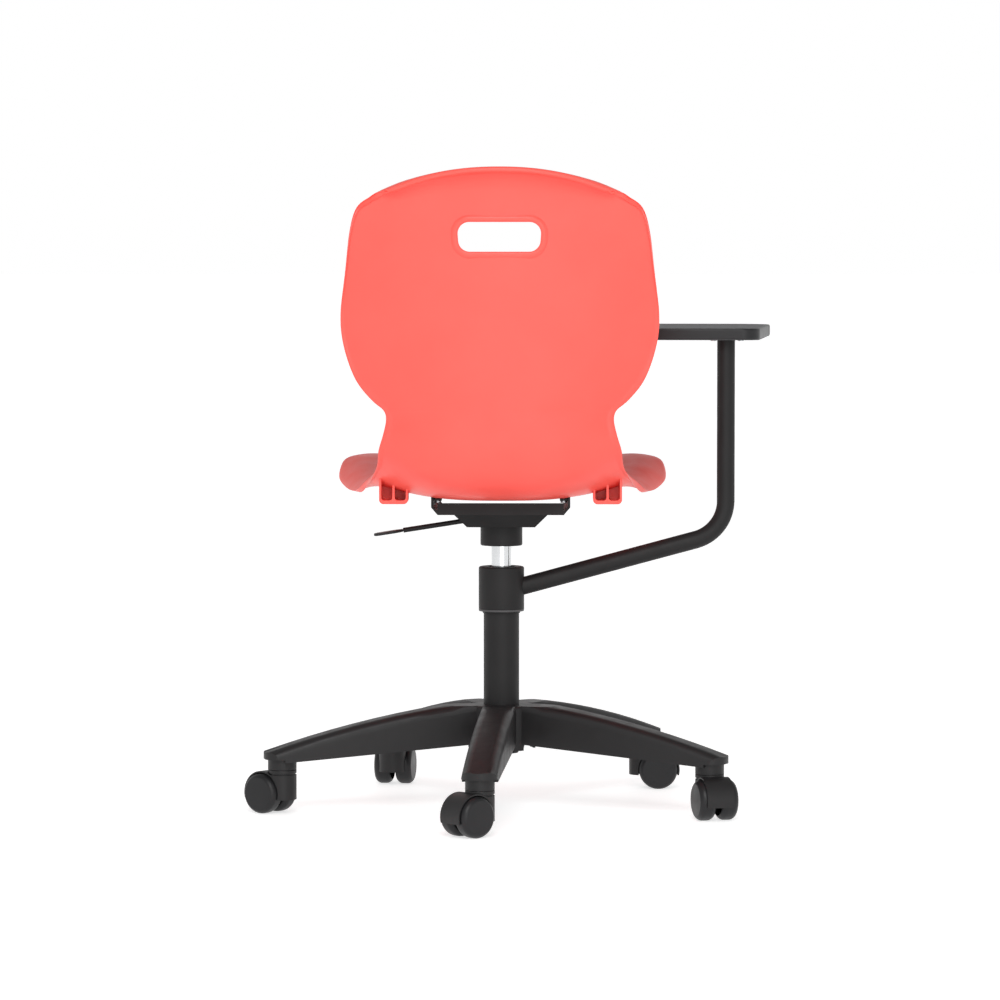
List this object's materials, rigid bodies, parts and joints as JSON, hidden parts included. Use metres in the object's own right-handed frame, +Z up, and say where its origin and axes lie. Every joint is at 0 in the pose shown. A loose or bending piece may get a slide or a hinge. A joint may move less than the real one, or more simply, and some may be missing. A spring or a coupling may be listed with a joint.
{
  "type": "tablet arm swivel chair",
  "caption": "Swivel chair with a one-piece moulded shell, a gas lift, a star base on twin-wheel castors and a writing tablet on an arm that turns round the column.",
  "frame": {"origin": "on the floor under the axis of the column", "axes": "+Z up along the column; the sitter faces -Y; +X is to the sitter's left, and the tablet's arm is at -X, on the sitter's right"},
  "size_m": [0.7567, 0.7931, 0.8954],
  "materials": {
    "shell_plastic": "smooth satin moulded polypropylene",
    "black_plastic": "fine satin",
    "base_plastic": "fine-grained moulded nylon",
    "wheel_plastic": "satin",
    "nylon": "satin",
    "black_steel": "satin powder coat",
    "bright_steel": "plain",
    "zinc_screw": "zinc plated",
    "chrome": "polished",
    "rubber": "matte",
    "tablet_laminate": "board with a dark grey laminate and edge"
  },
  "bodies": {
    "base": {"star_base": "base_plastic", "castor_sockets": "bright_steel", "outer_tube": "black_steel", "guide_bush": "nylon", "stop_ring": "black_steel"},
    "piston": {"piston_rod": "chrome", "thrust_bearing": "bright_steel", "bump_buffer": "rubber", "rod_clip": "bright_steel"},
    "seat": {"gas_cylinder": "chrome", "taper_sleeve": "black_steel", "mechanism_housing": "black_steel", "seat_plate": "black_steel", "shell": "shell_plastic", "shell_screws": "zinc_screw", "lever_pin": "bright_steel"},
    "lever": {"lever_rod": "black_steel", "lever_paddle": "black_plastic"},
    "valve": {"valve_pin": "bright_steel"},
    "tablet": {"tablet_collar": "black_steel", "collar_bush_upper": "nylon", "collar_bush_lower": "nylon", "arm_tube": "black_steel", "mounting_plate": "black_steel", "tablet_board": "tablet_laminate", "tablet_screws": "zinc_screw"},
    "castor_1": {"castor_1_hood": "black_plastic", "castor_1_stem": "bright_steel", "castor_1_axle": "bright_steel"},
    "castor_1_left": {"castor_1_wheel_left": "wheel_plastic"},
    "castor_1_right": {"castor_1_wheel_right": "wheel_plastic"},
    "castor_2": {"castor_2_hood": "black_plastic", "castor_2_stem": "bright_steel", "castor_2_axle": "bright_steel"},
    "castor_2_left": {"castor_2_wheel_left": "wheel_plastic"},
    "castor_2_right": {"castor_2_wheel_right": "wheel_plastic"},
    "castor_3": {"castor_3_hood": "black_plastic", "castor_3_stem": "bright_steel", "castor_3_axle": "bright_steel"},
    "castor_3_left": {"castor_3_wheel_left": "wheel_plastic"},
    "castor_3_right": {"castor_3_wheel_right": "wheel_plastic"},
    "castor_4": {"castor_4_hood": "black_plastic", "castor_4_stem": "bright_steel", "castor_4_axle": "bright_steel"},
    "castor_4_left": {"castor_4_wheel_left": "wheel_plastic"},
    "castor_4_right": {"castor_4_wheel_right": "wheel_plastic"},
    "castor_5": {"castor_5_hood": "black_plastic", "castor_5_stem": "bright_steel", "castor_5_axle": "bright_steel"},
    "castor_5_left": {"castor_5_wheel_left": "wheel_plastic"},
    "castor_5_right": {"castor_5_wheel_right": "wheel_plastic"}
  },
  "joints": [
    {"name": "seat_swivel", "type": "hinge", "parent": "base", "child": "piston", "pos_m": [0, 0, 0.2], "axis": [0, 0, 1], "continuous": true},
    {"name": "seat_lift", "type": "slide", "parent": "piston", "child": "seat", "axis": [0, 0, 1], "range_m": [-0.025, 0.105]},
    {"name": "lever_lift", "type": "hinge", "parent": "seat", "child": "lever", "pos_m": [0.038, 0, 0.40713], "axis": [0, -1, 0], "range_deg": [0, 5], "stiffness_Nm_per_rad": 0.6, "springref_deg": -5.73},
    {"name": "valve_press", "type": "slide", "parent": "seat", "child": "valve", "axis": [0, 0, -1], "range_m": [0, 0.004]},
    {"name": "tablet_swing", "type": "hinge", "parent": "piston", "child": "tablet", "pos_m": [0, 0, 0.31], "axis": [0, 0, 1], "range_deg": [-20, 120]},
    {"name": "castor_1_swivel", "type": "hinge", "parent": "base", "child": "castor_1", "pos_m": [0.02514, 0.31249, 0.07], "axis": [0, 0, 1], "continuous": true},
    {"name": "castor_1_left_roll", "type": "hinge", "parent": "castor_1", "child": "castor_1_left", "pos_m": [0.04175, 0.32692, 0.028], "axis": [0.6561, -0.7547, 0], "continuous": true},
    {"name": "castor_1_right_roll", "type": "hinge", "parent": "castor_1", "child": "castor_1_right", "pos_m": [0.04175, 0.32692, 0.028], "axis": [0.6561, -0.7547, 0], "continuous": true},
    {"name": "castor_2_swivel", "type": "hinge", "parent": "base", "child": "castor_2", "pos_m": [-0.28943, 0.12048, 0.07], "axis": [0, 0, 1], "continuous": true},
    {"name": "castor_2_left_roll", "type": "hinge", "parent": "castor_2", "child": "castor_2_left", "pos_m": [-0.29549, 0.14162, 0.028], "axis": [0.9613, 0.2756, 0], "continuous": true},
    {"name": "castor_2_right_roll", "type": "hinge", "parent": "castor_2", "child": "castor_2_right", "pos_m": [-0.29549, 0.14162, 0.028], "axis": [0.9613, 0.2756, 0], "continuous": true},
    {"name": "castor_3_swivel", "type": "hinge", "parent": "base", "child": "castor_3", "pos_m": [-0.20402, -0.23803, 0.07], "axis": [0, 0, 1], "continuous": true},
    {"name": "castor_3_left_roll", "type": "hinge", "parent": "castor_3", "child": "castor_3_left", "pos_m": [-0.22601, -0.23842, 0.028], "axis": [-0.0175, 0.9998, 0], "continuous": true},
    {"name": "castor_3_right_roll", "type": "hinge", "parent": "castor_3", "child": "castor_3_right", "pos_m": [-0.22601, -0.23842, 0.028], "axis": [-0.0175, 0.9998, 0], "continuous": true},
    {"name": "castor_4_swivel", "type": "hinge", "parent": "base", "child": "castor_4", "pos_m": [0.16334, -0.26759, 0.07], "axis": [0, 0, 1], "continuous": true},
    {"name": "castor_4_left_roll", "type": "hinge", "parent": "castor_4", "child": "castor_4_left", "pos_m": [0.1599, -0.28932, 0.028], "axis": [-0.9877, 0.1564, 0], "continuous": true},
    {"name": "castor_4_right_roll", "type": "hinge", "parent": "castor_4", "child": "castor_4_right", "pos_m": [0.1599, -0.28932, 0.028], "axis": [-0.9877, 0.1564, 0], "continuous": true},
    {"name": "castor_5_swivel", "type": "hinge", "parent": "base", "child": "castor_5", "pos_m": [0.30496, 0.07265, 0.07], "axis": [0, 0, 1], "continuous": true},
    {"name": "castor_5_left_roll", "type": "hinge", "parent": "castor_5", "child": "castor_5_left", "pos_m": [0.32254, 0.05941, 0.028], "axis": [-0.6018, -0.7986, 0], "continuous": true},
    {"name": "castor_5_right_roll", "type": "hinge", "parent": "castor_5", "child": "castor_5_right", "pos_m": [0.32254, 0.05941, 0.028], "axis": [-0.6018, -0.7986, 0], "continuous": true}
  ],
  "couplings": [
    {"joint": "valve_press", "follows": "lever_lift", "m_per_rad": 0.042}
  ]
}
